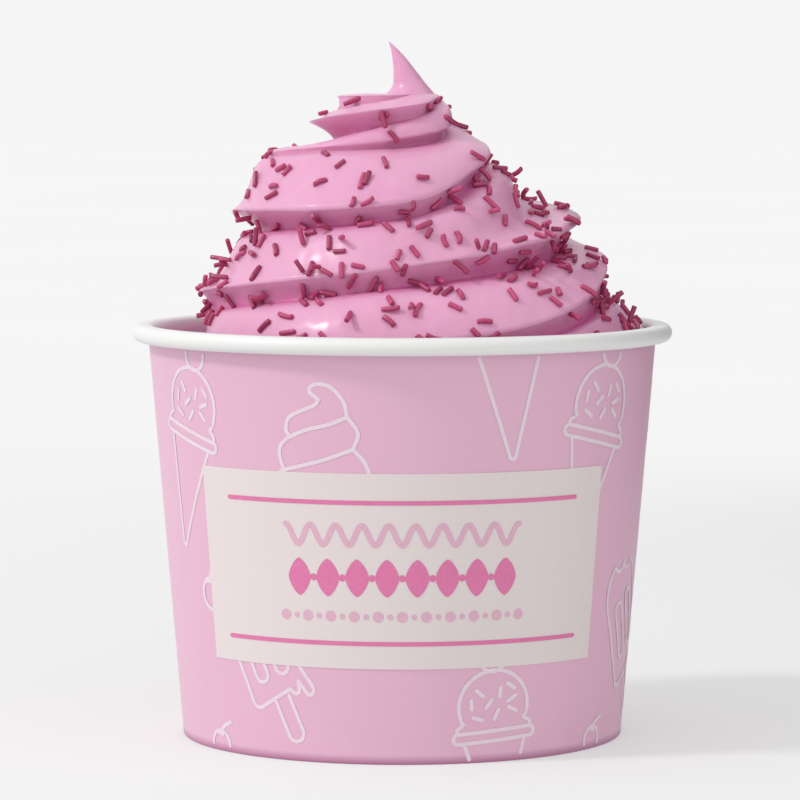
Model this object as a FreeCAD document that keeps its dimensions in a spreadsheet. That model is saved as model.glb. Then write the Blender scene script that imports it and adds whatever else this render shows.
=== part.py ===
import FreeCAD, Part
import Sketcher
import math
import os
import random

# Paper ice cream tub with a soft serve swirl and sprinkles. Millimetres, +Z up.
# The origin is the middle of the foot, on the surface that the tub stands on; the label faces -Y.

DIMENSIONS = [
    # The paperboard cup.
    ("cup_height", 74.9),           # foot to the top of the rolled rim
    ("foot_radius", 40.0),          # outside of the wall at the foot
    ("shoulder_radius", 46.1),      # outside of the wall just under the rolled rim
    ("wall_board", 0.5),            # thickness of the wall's paperboard
    ("rim_overhang", 3.0),          # how far the rolled rim stands out past the wall
    ("rim_roll_width", 4.2),
    ("rim_roll_height", 3.1),
    ("curl_gap", 0.3),              # gap between the curl's free edge and the wall
    ("foot_round", 0.4),            # rounding of the fold at the foot
    ("seam_lap", 8.0),              # width of the glued lap at the back
    ("seam_step", 0.3),             # how far the lap stands out
    ("base_recess", 6.0),           # foot to the underside of the base disc
    ("base_board", 0.45),
    ("hem_gap", 0.4),               # from the hem's free edge to the base disc
    ("fit_gap", 0.05),              # gap on each side of the base skirt, and around the fill
    # The label.
    ("label_height", 34.3),
    ("label_rise", 17.0),           # foot to the label's lower edge
    ("label_sweep", 104.5),         # degrees of the wall that it covers
    ("label_stock", 0.12),
    # The ice cream.
    ("fill_drop", 6.0),             # rim top to the flat top of the fill
    ("swirl_height", 51.3),         # rim top to the tip
    ("swirl_gap", 0.4),             # from the rolled rim's inside to the widest coil
    # The sprinkles.
    ("sprinkle_radius", 0.46),
    ("sprinkle_shortest", 1.9),
    ("sprinkle_longest", 3.5),
    ("sprinkle_sink", 0.2),         # how deep a sprinkle lies in the ice cream
]

DOC = FreeCAD.newDocument("IceCreamTub")


def make_sheet():
    sheet = DOC.addObject("Spreadsheet::Sheet", "Dims")
    for row, (alias, value) in enumerate(DIMENSIONS, start=1):
        sheet.set(f"A{row}", alias)
        sheet.set(f"B{row}", str(value))
        sheet.setAlias(f"B{row}", alias)
    DOC.recompute()
    return sheet


SHEET = make_sheet()


def expression(text):
    """Turns the bare aliases in text into references to the sheet's cells."""
    for alias, _ in DIMENSIONS:
        text = text.replace(f"<{alias}>", f"Dims.{alias}")
    return text


def size(text):
    """The number that an expression of the sheet's aliases gives now."""
    return float(SHEET.evalExpression(expression(text)))


# The wall's taper, and its outside and inside radius at a height.
TAPER = "((<shoulder_radius> - <foot_radius>) / (<cup_height> - <rim_roll_height>))"


def outside(height):
    return f"(<foot_radius> + {TAPER} * ({height}))"


def inside(height):
    return f"({outside(height)} - <wall_board>)"


# ---------------------------------------------------------------- sketches and bodies

def make_body(name):
    body = DOC.addObject("PartDesign::Body", name)
    body.Label = name
    return body


def make_sketch(body, name, role):
    sketch = body.newObject("Sketcher::SketchObject", name)
    plane = next(p for p in body.Origin.OriginFeatures if p.Role == role)
    sketch.AttachmentSupport = [(plane, "")]
    sketch.MapMode = "FlatFace"
    return sketch


def pin_point(sketch, geometry, end, across, up):
    """Fixes one point of the sketch at two expressions, measured from the origin."""
    for kind, text in (("DistanceX", across), ("DistanceY", up)):
        if text == "0":
            axis = -2 if kind == "DistanceX" else -1
            sketch.addConstraint(Sketcher.Constraint("PointOnObject", geometry, end, axis))
            continue
        index = sketch.addConstraint(Sketcher.Constraint(kind, -1, 1, geometry, end, size(text)))
        sketch.setExpression(f"Constraints[{index}]", expression(text))


def draw_outline(sketch, corners):
    """A closed outline of straight lines through corners, each a pair of expressions."""
    points = [FreeCAD.Vector(size(across), size(up), 0) for across, up in corners]
    count = len(points)
    lines = [sketch.addGeometry(Part.LineSegment(points[i], points[(i + 1) % count]), False)
             for i in range(count)]
    for i in range(count):
        sketch.addConstraint(Sketcher.Constraint("Coincident", lines[i], 2, lines[(i + 1) % count], 1))
    for line, (across, up) in zip(lines, corners):
        pin_point(sketch, line, 1, across, up)


def draw_slot(sketch, left, right, up, radius):
    """A closed slot with round ends, whose end centres are at left and right; all are expressions."""
    x_left, x_right, y_mid, round_radius = size(left), size(right), size(up), size(radius)
    axis = FreeCAD.Vector(0, 0, 1)
    left_circle = Part.Circle(FreeCAD.Vector(x_left, y_mid, 0), axis, round_radius)
    right_circle = Part.Circle(FreeCAD.Vector(x_right, y_mid, 0), axis, round_radius)
    arc_left = sketch.addGeometry(Part.ArcOfCircle(left_circle, math.pi / 2, 3 * math.pi / 2), False)
    arc_right = sketch.addGeometry(Part.ArcOfCircle(right_circle, -math.pi / 2, math.pi / 2), False)
    rise = FreeCAD.Vector(0, round_radius, 0)
    low_left = FreeCAD.Vector(x_left, y_mid, 0) - rise
    low_right = FreeCAD.Vector(x_right, y_mid, 0) - rise
    below = sketch.addGeometry(Part.LineSegment(low_left, low_right), False)
    above = sketch.addGeometry(Part.LineSegment(low_right + 2 * rise, low_left + 2 * rise), False)
    for first, first_end, second, second_end in ((arc_left, 2, below, 1), (below, 2, arc_right, 1),
                                                 (arc_right, 2, above, 1), (above, 2, arc_left, 1)):
        sketch.addConstraint(Sketcher.Constraint("Tangent", first, first_end, second, second_end))
    pin_point(sketch, arc_left, 3, left, up)
    index = sketch.addConstraint(Sketcher.Constraint("DistanceX", -1, 1, arc_right, 3, x_right))
    sketch.setExpression(f"Constraints[{index}]", expression(right))
    index = sketch.addConstraint(Sketcher.Constraint("Radius", arc_left, round_radius))
    sketch.setExpression(f"Constraints[{index}]", expression(radius))
    sketch.addConstraint(Sketcher.Constraint("Horizontal", below))


def turn_sketch(body, kind, name, sketch, angle=None):
    """A Revolution or Groove of the sketch about its own upright axis."""
    feature = body.newObject(kind, name)
    feature.Profile = sketch
    feature.ReferenceAxis = (sketch, ["V_Axis"])
    feature.Angle = 360
    if angle:
        feature.Midplane = True
        feature.setExpression("Angle", expression(angle))
    sketch.Visibility = False
    DOC.recompute()
    return feature


# ---------------------------------------------------------------- the cup

HEM_FACE = "(<wall_board> + <base_board> + 2 * <fit_gap>)"
ROLL_INSIDE = "(<shoulder_radius> + <rim_overhang> - <rim_roll_width>)"


def make_sidewall():
    """The wrapped wall: one sheet with a folded hem, a rolled rim and a glued lap at the back."""
    body = make_body("cup_sidewall")
    roll_bottom = "(<cup_height> - <rim_roll_height>)"
    wall_end = f"({roll_bottom} + 0.8 * <wall_board>)"
    hem_top = "(<base_recess> - <hem_gap>)"

    wall = make_sketch(body, "WallSection", "XZ_Plane")
    draw_outline(wall, [
        ("<foot_radius>", "0"),
        (outside(wall_end), wall_end),
        (inside(wall_end), wall_end),
        (inside("<wall_board>"), "<wall_board>"),
        (f"{outside('<wall_board>')} - {HEM_FACE}", "<wall_board>"),
        (f"{outside(hem_top)} - {HEM_FACE}", hem_top),
        (f"{inside(hem_top)} - {HEM_FACE}", hem_top),
        (f"{inside('0')} - {HEM_FACE}", "0"),
    ])
    turn_sketch(body, "PartDesign::Revolution", "Wall", wall)

    roll_out = "(<shoulder_radius> + <rim_overhang>)"
    half_roll = "(<rim_roll_height> / 2)"
    first = f"({ROLL_INSIDE} + {half_roll})"
    last = f"({roll_out} - {half_roll})"
    middle = f"({roll_bottom} + {half_roll})"
    roll = make_sketch(body, "RollSection", "XZ_Plane")
    draw_slot(roll, first, last, middle, half_roll)
    draw_slot(roll, first, last, middle, f"({half_roll} - <wall_board>)")
    turn_sketch(body, "PartDesign::Revolution", "Roll", roll)

    gap_start = "(<shoulder_radius> + <curl_gap>)"
    gap = make_sketch(body, "CurlGapSection", "XZ_Plane")
    draw_outline(gap, [
        (gap_start, f"{roll_bottom} - <wall_board>"),
        (f"{gap_start} + <curl_gap>", f"{roll_bottom} - <wall_board>"),
        (f"{gap_start} + <curl_gap>", f"{middle}"),
        (gap_start, f"{middle}"),
    ])
    turn_sketch(body, "PartDesign::Groove", "CurlGap", gap)

    lap_foot = "(2 * <foot_round>)"
    lap_top = f"({roll_bottom} - <curl_gap>)"
    lap = make_sketch(body, "LapSection", "YZ_Plane")
    draw_outline(lap, [
        (inside(lap_foot) + " + <wall_board> / 2", lap_foot),
        (outside(lap_foot) + " + <seam_step>", lap_foot),
        (outside(lap_top) + " + <seam_step>", lap_top),
        (inside(lap_top) + " + <wall_board> / 2", lap_top),
    ])
    turn_sketch(body, "PartDesign::Revolution", "Lap", lap, "<seam_lap> / <shoulder_radius> * 180 / pi")

    base = body.Tip
    foot_edges = [f"Edge{i}" for i, edge in enumerate(base.Shape.Edges, start=1)
                  if edge.BoundBox.ZMax < 0.001 and edge.BoundBox.ZMin > -0.001]
    rounding = body.newObject("PartDesign::Fillet", "FootRound")
    rounding.Base = (base, foot_edges)
    rounding.setExpression("Radius", expression("<foot_round>"))
    DOC.recompute()
    return body


def make_base():
    """The bottom disc, with a skirt turned down into the hem."""
    body = make_body("cup_base")
    skirt_foot = "(<wall_board> + <fit_gap>)"
    disc_top = "(<base_recess> + <base_board>)"
    section = make_sketch(body, "BaseSection", "XZ_Plane")
    draw_outline(section, [
        ("0", "<base_recess>"),
        (f"{inside('<base_recess>')} - <fit_gap> - <base_board>", "<base_recess>"),
        (f"{inside(skirt_foot)} - <fit_gap> - <base_board>", skirt_foot),
        (f"{inside(skirt_foot)} - <fit_gap>", skirt_foot),
        (f"{inside(disc_top)} - <fit_gap>", disc_top),
        ("0", disc_top),
    ])
    turn_sketch(body, "PartDesign::Revolution", "Base", section)
    return body


def make_cone(name, foot, top, height, sweep="360"):
    cone = DOC.addObject("Part::Cone", name)
    for prop, text in (("Radius1", foot), ("Radius2", top), ("Height", height), ("Angle", sweep)):
        cone.setExpression(prop, expression(text))
    return cone


def make_label():
    """The label: a thin sheet wrapped on the wall, centred on the front."""
    label_top = "(<label_rise> + <label_height>)"
    foot = outside("<label_rise>")
    top = outside(label_top)
    skin = make_cone("LabelSkin", f"{foot} + <label_stock>", f"{top} + <label_stock>",
                     "<label_height>", "<label_sweep>")
    core = make_cone("LabelCore", foot, top, "<label_height>", "<label_sweep>")
    label = DOC.addObject("Part::Cut", "front_label")
    label.Base = skin
    label.Tool = core
    upright = FreeCAD.Vector(0, 0, 1)
    label.Placement = FreeCAD.Placement(upright, FreeCAD.Rotation(upright, 90))
    label.setExpression("Placement.Base.z", expression("<label_rise>"))
    label.setExpression("Placement.Rotation.Angle", expression("270 - <label_sweep> / 2"))
    label.Label = "front_label"
    return label


# ---------------------------------------------------------------- the ice cream

def make_fill():
    """The ice cream packed into the cup, from the base disc up to its flat top."""
    fill_foot = "(<base_recess> + <base_board>)"
    fill_top = "(<cup_height> - <fill_drop>)"
    foot = f"{inside(fill_foot)} - <fit_gap>"
    top = f"{inside(fill_top)} - <fit_gap>"
    fill = make_cone("ice_cream_fill", foot, top, f"{fill_top} - {fill_foot}")
    fill.Placement = FreeCAD.Placement(FreeCAD.Vector(0, 0, 1), FreeCAD.Rotation())
    fill.setExpression("Placement.Base.z", expression(fill_foot))
    fill.Label = "ice_cream_fill"
    return fill


# The swirl is piped through a star nozzle, so two ridges climb it side by side. A row places a ridge at
# one point of its way up: turns from +X (anticlockwise from above), radius, height over the rim, how far
# the groove under the ridge cuts in and lies below it, and how much the slope above the ridge flares
# (0 bulges, 1 spreads out flat). The rows hold for the sheet's first swirl height.
RIDGE_LOW = [
    (-0.25, 42.0, -6.0, 0.0, 0.0, 0.0),
    (0.00, 44.2, -1.0, 2.0, 3.0, 0.5),
    (0.25, 41.5, 2.5, 2.0, 3.2, 0.5),
    (0.50, 36.9, 6.0, 2.1, 3.9, 0.6),
    (0.75, 33.0, 11.6, 1.9, 3.8, 0.3),
    (1.00, 32.3, 19.4, 3.8, 5.6, 1.0),
    (1.25, 27.4, 25.2, 2.0, 3.4, 0.4),
    (1.38, 26.0, 28.4, 0.6, 2.0, 0.0),
    (1.50, 24.6, 30.8, 0.2, 1.0, 0.0),
    (1.60, 19.8, 32.0, 0.3, 0.8, 0.0),
    (1.68, 15.4, 32.8, 0.8, 1.2, 0.0),
    (1.75, 13.8, 33.8, 1.8, 1.8, 0.1),
    (1.88, 11.6, 35.8, 2.2, 2.2, 0.0),
    (2.00, 6.7, 38.2, 0.8, 2.0, 0.0),
    (2.25, 10.0, 40.6, 1.4, 2.0, 0.0),
    (2.50, 12.8, 41.0, 0.5, 2.4, -0.3),
    (2.75, 4.6, 41.6, 0.0, 0.0, 0.0),
]
RIDGE_HIGH = [
    (-0.40, 38.0, -6.0, 0.0, 0.0, 0.0),
    (-0.17, 42.0, 1.0, 1.4, 2.8, 0.2),
    (0.00, 37.0, 12.0, 1.6, 6.6, 0.2),
    (0.25, 33.6, 16.4, 2.8, 4.4, 0.3),
    (0.50, 31.1, 20.4, 4.8, 4.2, 0.6),
    (0.75, 28.0, 22.6, 2.3, 3.0, 0.1),
    (0.87, 20.5, 29.0, 2.0, 3.4, 0.1),
    (1.00, 15.2, 32.6, 1.6, 3.8, 0.3),
    (1.25, 15.8, 34.4, 3.4, 3.4, 0.2),
    (1.50, 17.0, 36.6, 4.6, 4.4, 0.6),
    (1.75, 12.8, 39.5, 1.6, 2.8, 0.2),
    (1.88, 6.8, 40.9, 0.5, 1.2, 0.0),
    (2.00, 4.4, 41.6, 0.0, 0.0, 0.0),
]
# The swirl's foot on the fill: turns from +X and radius. It stands off the wall on one side.
FOOT_ROWS = [
    (0.00, 43.3),
    (0.25, 41.5),
    (0.50, 36.0),
    (0.60, 38.0),
    (0.75, 42.0),
    (1.00, 43.3),
]
FOOT_LEVEL = -6.0
# The tip over the last coil: height over the rim, radius, and its lean along X.
TIP_ROWS = [
    (41.6, 4.4, 1.5),
    (43.2, 3.2, 1.5),
    (44.8, 2.5, 0.9),
    (46.6, 1.85, 0.2),
    (48.4, 1.1, -0.7),
    (49.8, 0.55, -1.5),
    (51.3, 0.0, -2.5),
]
LEAN_START = 36.0
# What the rows were set out for: the height of the tip, and the widest coil's radius.
FIRST_HEIGHT = 51.3
FIRST_WIDEST = 44.5
AZIMUTHS = 72
LEVELS = 90
CURVE_STEPS = 12


def between(rows, where):
    """A smooth curve through rows, whose first field is the position; gives the other fields."""
    where = min(max(where, rows[0][0]), rows[-1][0])
    index = max(i for i in range(len(rows) - 1) if rows[i][0] <= where or i == 0)
    before, after = rows[index], rows[index + 1]
    span = after[0] - before[0]
    step = (where - before[0]) / span
    earlier = rows[max(index - 1, 0)]
    later = rows[min(index + 2, len(rows) - 1)]
    values = []
    for field in range(1, len(before)):
        slope_in = (after[field] - earlier[field]) / (after[0] - earlier[0]) * span
        slope_out = (later[field] - before[field]) / (later[0] - before[0]) * span
        square, cube = step ** 2, step ** 3
        values.append((2 * cube - 3 * square + 1) * before[field] + (cube - 2 * square + step) * slope_in
                      + (3 * square - 2 * cube) * after[field] + (cube - square) * slope_out)
    return values


def bezier(points):
    """Points along a cubic curve, without its first one."""
    curve = []
    for k in range(1, CURVE_STEPS + 1):
        u = k / CURVE_STEPS
        weights = ((1 - u) ** 3, 3 * u * (1 - u) ** 2, 3 * u ** 2 * (1 - u), u ** 3)
        curve.append(tuple(sum(w * p[axis] for w, p in zip(weights, points)) for axis in (0, 1)))
    return curve


def slope_curve(low, high, flare):
    """The slope from a ridge up to the groove under the next one: bulging, or flared near the ridge."""
    run, rise = high[0] - low[0], high[1] - low[1]
    bulge = (0.08, 0.60, 0.50, 0.95)
    flared = (0.98, 0.02, 0.40, 1.04)
    a, b, c, d = (m + flare * (n - m) for m, n in zip(bulge, flared))
    return bezier([low, (low[0] + a * run, low[1] + b * rise),
                   (low[0] + c * run, low[1] + d * rise), high])


def groove_curve(low, ridge):
    """The undercut from the groove out to the ridge over it."""
    run, rise = ridge[0] - low[0], ridge[1] - low[1]
    return bezier([low, (low[0] - 0.15 * run, low[1] + 0.45 * rise),
                   (low[0] + 0.55 * run, low[1] + 0.80 * rise), ridge])


def profile(fraction):
    """The swirl's outline at one azimuth, from its foot to its tip, as (radius, height over the rim)."""
    ridges = []
    for rows in (RIDGE_LOW, RIDGE_HIGH):
        for lap in (-1, 0, 1, 2):
            turn = fraction + lap
            if rows[0][0] <= turn <= rows[-1][0]:
                ridges.append(between(rows, turn))
    ridges.sort(key=lambda ridge: ridge[1])
    outline = [(between(FOOT_ROWS, fraction)[0], FOOT_LEVEL)]
    flare = 0.0
    for radius, height, cut_in, cut_down, next_flare in ridges:
        groove = (radius - cut_in, height - cut_down)
        outline += slope_curve(outline[-1], groove, flare)
        outline += groove_curve(groove, (radius, height))
        flare = next_flare
    outline += slope_curve(outline[-1], (TIP_ROWS[0][1], TIP_ROWS[0][0]), 0.3)
    outline += [(radius, height) for height, radius, _ in TIP_ROWS[1:]]
    return outline


def even_points(outline, count):
    """count points spread evenly along the outline."""
    reach = [0.0]
    for first, second in zip(outline, outline[1:]):
        reach.append(reach[-1] + math.dist(first, second))
    points = []
    piece = 0
    for k in range(count):
        target = reach[-1] * k / (count - 1)
        while piece < len(reach) - 2 and reach[piece + 1] < target:
            piece += 1
        share = (target - reach[piece]) / max(reach[piece + 1] - reach[piece], 1e-9)
        share = min(max(share, 0.0), 1.0)
        points.append(tuple(a + share * (b - a) for a, b in zip(outline[piece], outline[piece + 1])))
    return points


def swirl_surface():
    """The swirl's skin: a closed spline surface over azimuth and way up."""
    height_scale = size("<swirl_height>") / FIRST_HEIGHT
    foot_drop = size("<fill_drop>")
    rim_top = size("<cup_height>")
    spread = size(f"{ROLL_INSIDE} - <swirl_gap>") / FIRST_WIDEST
    lean_rows = [(LEAN_START, 0.0)] + [(height, lean) for height, _, lean in TIP_ROWS]
    poles = []
    for k in range(AZIMUTHS):
        angle = 2 * math.pi * k / AZIMUTHS
        column = []
        for radius, height in even_points(profile(k / AZIMUTHS), LEVELS):
            lean = between(lean_rows, height)[0] if height > LEAN_START else 0.0
            up = height * height_scale if height > 0 else height * foot_drop / -FOOT_LEVEL
            column.append(FreeCAD.Vector(spread * (lean + radius * math.cos(angle)),
                                         spread * radius * math.sin(angle), rim_top + up))
        poles.append(column)
    degree = 3
    level_knots = LEVELS - degree + 1
    surface = Part.BSplineSurface()
    surface.buildFromPolesMultsKnots(
        poles,
        [1] * (AZIMUTHS + 1), [degree + 1] + [1] * (level_knots - 2) + [degree + 1],
        [k / AZIMUTHS for k in range(AZIMUTHS + 1)], [k / (level_knots - 1) for k in range(level_knots)],
        True, False, degree, degree)
    return surface


def make_swirl():
    """The piped swirl, standing on the flat top of the fill."""
    surface = swirl_surface()
    skin = surface.toShape()
    foot_height = size("<cup_height> - <fill_drop>")
    rims = [edge for edge in skin.Edges
            if edge.BoundBox.ZMin > foot_height - 0.01 and edge.BoundBox.ZMax < foot_height + 0.01]
    foot = Part.Face(Part.Wire(rims))
    shell = Part.Shell([skin, foot])
    shell.sewShape()
    swirl = DOC.addObject("Part::Feature", "soft_serve_swirl")
    swirl.Shape = Part.makeSolid(shell)
    swirl.Placement = FreeCAD.Placement()
    swirl.Label = "soft_serve_swirl"
    return swirl, surface


# The sprinkles' groups: name, the height over the rim that each reaches up to, and how many it holds.
SPRINKLE_GROUPS = [
    ("sprinkles_rim_coil", 8.0, 150),
    ("sprinkles_lower_coil", 19.0, 170),
    ("sprinkles_middle_coil", 31.0, 100),
    ("sprinkles_top_coil", 41.0, 22),
]
SPRINKLE_SEED = 11
SLIDE_OFF = 3.0         # how strongly sprinkles keep to steep and overhanging places
POKING_SHARE = 0.16     # the share of them that stand out from the surface
HUDDLE_SHARE = 0.40     # the share of them that fall beside an earlier one
HUDDLE_SPREAD = 0.014   # how close beside it, as a share of the surface
APART = 1.05            # in diameters
FULL_AREA = 900.0       # no stretch of the skin has more area than this for its share of the surface


def rod(length, radius):
    """A sprinkle along Z, centred on the origin: a rod whose ends are blunt cones."""
    end = length / 2
    bevel = radius * 0.55
    corners = [(0, -end), (radius - bevel, -end), (radius, bevel - end),
               (radius, end - bevel), (radius - bevel, end), (0, end), (0, -end)]
    outline = Part.makePolygon([FreeCAD.Vector(across, 0, up) for across, up in corners])
    return Part.Face(outline).revolve(FreeCAD.Vector(), FreeCAD.Vector(0, 0, 1), 360)


def scatter(surface):
    """Sprinkles over the swirl, each as its middle, direction, length and height over the rim."""
    chance = random.Random(SPRINKLE_SEED)
    rim_top = size("<cup_height>")
    radius = size("<sprinkle_radius>")
    sink = size("<sprinkle_sink>")
    widest = size(ROLL_INSIDE) - radius - size("<swirl_gap>") / 2
    lowest = rim_top - size("<fill_drop>") + radius
    height_scale = size("<swirl_height>") / FIRST_HEIGHT
    wanted = {name: count for name, _, count in SPRINKLE_GROUPS}
    placed = {name: [] for name, _, _ in SPRINKLE_GROUPS}
    taken = []
    spots = []
    while any(wanted.values()):
        place = (chance.random(), chance.uniform(0.05, 0.97))
        huddled = bool(spots) and chance.random() < HUDDLE_SHARE
        if huddled:
            around, along = chance.choice(spots)
            place = ((around + chance.gauss(0, HUDDLE_SPREAD / 2)) % 1.0,
                     min(max(along + chance.gauss(0, HUDDLE_SPREAD), 0.05), 0.97))
        point = surface.value(*place)
        normal = surface.getDN(*place, 1, 0).cross(surface.getDN(*place, 0, 1))
        area = normal.Length
        normal.normalize()
        level = (point.z - rim_top) / height_scale
        name = next((n for n, top, _ in SPRINKLE_GROUPS if level < top), None)
        likely = area / FULL_AREA * math.exp(-SLIDE_OFF * max(normal.z, 0))
        if name is None or not wanted[name] or not huddled and chance.random() > likely:
            continue
        heading = FreeCAD.Vector(chance.uniform(-1, 1), chance.uniform(-1, 1), chance.uniform(-1, 1))
        flat = normal.cross(heading)
        flat.normalize()
        poking = chance.random() < POKING_SHARE
        tilt = math.radians(chance.uniform(30, 65) if poking else chance.uniform(0, 12))
        direction = flat * math.cos(tilt) + normal * math.sin(tilt)
        length = chance.uniform(size("<sprinkle_shortest>"), size("<sprinkle_longest>"))
        reach = (length / 2 - radius) * math.sin(tilt)
        middle = point + normal * (radius - sink + reach)
        ends = [middle - direction * (length / 2), middle, middle + direction * (length / 2)]
        if any(math.hypot(end.x, end.y) > widest or end.z < lowest for end in ends):
            continue
        if any((end - other).Length < APART * 2 * radius for end in ends for other in taken):
            continue
        taken += ends
        spots.append(place)
        placed[name].append((middle, direction, length))
        wanted[name] -= 1
    return placed


def make_sprinkles(surface):
    """Each group of sprinkles is one object that holds separate solids."""
    radius = size("<sprinkle_radius>")
    groups = []
    for name, sprinkles in scatter(surface).items():
        rods = []
        for middle, direction, length in sprinkles:
            sprinkle = rod(length, radius)
            turned = FreeCAD.Rotation(FreeCAD.Vector(0, 0, 1), direction)
            sprinkle.Placement = FreeCAD.Placement(middle, turned)
            rods.append(sprinkle)
        group = DOC.addObject("Part::Feature", name)
        group.Shape = Part.makeCompound(rods)
        group.Placement = FreeCAD.Placement()
        group.Label = name
        groups.append(group)
    return groups


# ---------------------------------------------------------------- build and write

def write_parts(nodes):
    DOC.recompute()
    for item in DOC.Objects:
        if "Invalid" in item.State or "Error" in item.State:
            raise RuntimeError(f"{item.Label} could not be made: {item.State}")
    for node in nodes:
        if node.Shape.isNull() or not node.Shape.isValid():
            raise RuntimeError(f"{node.Label} has no valid shape")
    os.makedirs("parts", exist_ok=True)
    for node in nodes:
        node.Shape.exportStep(f"parts/{node.Label}.step")
        box = node.Shape.BoundBox
        print(f"{node.Label}: {len(node.Shape.Solids)} solids, {node.Shape.Volume:.1f} mm3, "
              f"z {box.ZMin:.2f} to {box.ZMax:.2f}, width {box.XLength:.2f}")


def main():
    nodes = [make_sidewall(), make_base(), make_label(), make_fill()]
    swirl, surface = make_swirl()
    nodes.append(swirl)
    nodes += make_sprinkles(surface)
    write_parts(nodes)


main()
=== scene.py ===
import math
import random

import bmesh
import bpy
from mathutils import Matrix, Vector, noise
from mathutils.bvhtree import BVHTree


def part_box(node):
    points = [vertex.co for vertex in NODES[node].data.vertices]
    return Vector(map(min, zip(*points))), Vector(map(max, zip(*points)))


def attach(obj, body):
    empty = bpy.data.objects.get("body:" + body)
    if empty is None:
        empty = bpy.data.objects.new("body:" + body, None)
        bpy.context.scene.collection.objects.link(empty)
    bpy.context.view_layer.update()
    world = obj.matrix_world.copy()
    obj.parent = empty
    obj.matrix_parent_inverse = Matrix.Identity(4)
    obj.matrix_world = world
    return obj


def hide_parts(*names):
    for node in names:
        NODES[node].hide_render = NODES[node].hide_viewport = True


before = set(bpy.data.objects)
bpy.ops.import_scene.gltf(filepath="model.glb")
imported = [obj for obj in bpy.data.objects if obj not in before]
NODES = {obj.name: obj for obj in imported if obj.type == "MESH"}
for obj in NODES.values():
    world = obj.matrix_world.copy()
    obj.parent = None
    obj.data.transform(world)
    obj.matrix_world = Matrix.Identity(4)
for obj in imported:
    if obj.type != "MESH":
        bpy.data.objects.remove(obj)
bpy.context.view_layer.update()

MM = 0.001

# The cup's own sizes, in millimetres, as in the CAD model.
FOOT_RADIUS = 40.0
SHOULDER_RADIUS = 46.1
RIM_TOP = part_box("cup_sidewall")[1].z / MM
ROLL_HEIGHT = 3.1
SHOULDER_HEIGHT = RIM_TOP - ROLL_HEIGHT
WALL_BOARD = 0.5
LABEL_STOCK = 0.12
SEAM_LAP = 8.0                  # width of the glued lap at the back
SEAM_STEP = 0.3                 # how far that lap stands out
FRONT = 270.0                   # azimuth of the label's middle, in degrees from +X
PRINT_LIFT = 0.03               # how far a printed line stands off its paper


# ---------------------------------------------------------------- colour and materials

def tone(code):
    """The linear colour of a six-digit sRGB code."""
    channels = [int(code[i:i + 2], 16) / 255 for i in (0, 2, 4)]
    linear = [c / 12.92 if c <= 0.04045 else ((c + 0.055) / 1.055) ** 2.4 for c in channels]
    return (*linear, 1.0)


class Paint:
    """A node material with a Principled shader, and short ways to add to it."""

    def __init__(self, name, **settings):
        self.material = bpy.data.materials.new(name)
        self.material.use_nodes = True
        self.tree = self.material.node_tree
        self.shader = self.tree.nodes["Principled BSDF"]
        for socket, value in settings.items():
            self.shader.inputs[socket.replace("_", " ")].default_value = value

    def node(self, kind, **inputs):
        made = self.tree.nodes.new(kind)
        for socket, value in inputs.items():
            self.feed(made, socket.replace("_", " "), value)
        return made

    def feed(self, node, socket, value):
        """Links value to the socket if it is another node's output, or else sets it."""
        if isinstance(value, bpy.types.NodeSocket):
            self.tree.links.new(value, node.inputs[socket])
        else:
            node.inputs[socket].default_value = value

    def place(self):
        return self.node("ShaderNodeTexCoord").outputs["Object"]

    def grain(self, scale, detail=3.0, roughness=0.5, vector=None):
        texture = self.node("ShaderNodeTexNoise", Vector=vector or self.place(), Scale=scale,
                            Detail=detail, Roughness=roughness)
        return texture.outputs["Fac"]

    def span(self, value, low, high, to_low=0.0, to_high=1.0):
        made = self.node("ShaderNodeMapRange", Value=value)
        for index, number in zip((1, 2, 3, 4), (low, high, to_low, to_high)):
            made.inputs[index].default_value = number
        return made.outputs["Result"]

    def math(self, operation, first, second=0.0):
        made = self.tree.nodes.new("ShaderNodeMath")
        made.operation = operation
        self.feed(made, 0, first)
        self.feed(made, 1, second)
        return made.outputs[0]

    def mix(self, share, first, second):
        made = self.tree.nodes.new("ShaderNodeMix")
        made.data_type = "RGBA"
        self.feed(made, 0, share)
        self.feed(made, 6, first)
        self.feed(made, 7, second)
        return made.outputs[2]

    def bump(self, height, strength, distance):
        made = self.node("ShaderNodeBump", Height=height, Strength=strength, Distance=distance)
        self.tree.links.new(made.outputs["Normal"], self.shader.inputs["Normal"])

    def color(self, value):
        self.feed(self.shader, "Base Color", value)

    def rough(self, value):
        self.feed(self.shader, "Roughness", value)


def cream_material():
    """Pink soft serve: smooth and slightly wet, with painted shade in the grooves, and a fine icy grain.
    """
    paint = Paint("soft_serve", Subsurface_Weight=0.25, Subsurface_Scale=0.003, IOR=1.4,
                  Coat_Weight=0.22, Coat_Roughness=0.15)
    paint.shader.inputs["Subsurface Radius"].default_value = (1.0, 0.45, 0.6)
    # Painted shade: the "groove" attribute darkens the cream in the grooves and under the ridges.
    groove = paint.node("ShaderNodeAttribute")
    groove.attribute_name = "groove"
    cloud = paint.grain(60.0, 2.0)
    streak = paint.grain(420.0, 4.0, 0.6)
    groove_shade = paint.math("ADD", groove.outputs["Fac"], paint.span(cloud, 0.3, 0.7, -0.10, 0.10))
    # Painted groove shade, varied a little by the cloud: the body colour darkens towards C65A95.
    body = paint.mix(groove_shade, tone("DB9DBF"), tone("C65A95"))
    paint.color(paint.mix(paint.span(streak, 0.5, 0.8, 0.0, 0.16), body, tone("E3AFCB")))
    paint.rough(paint.span(streak, 0.3, 0.7, 0.36, 0.48))
    pits = paint.grain(1500.0, 2.0, 0.5)
    uneven = paint.math("ADD", paint.math("MULTIPLY", streak, 0.7), paint.math("MULTIPLY", pits, 0.3))
    paint.bump(uneven, 0.14, 0.0004)
    return paint.material


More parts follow.
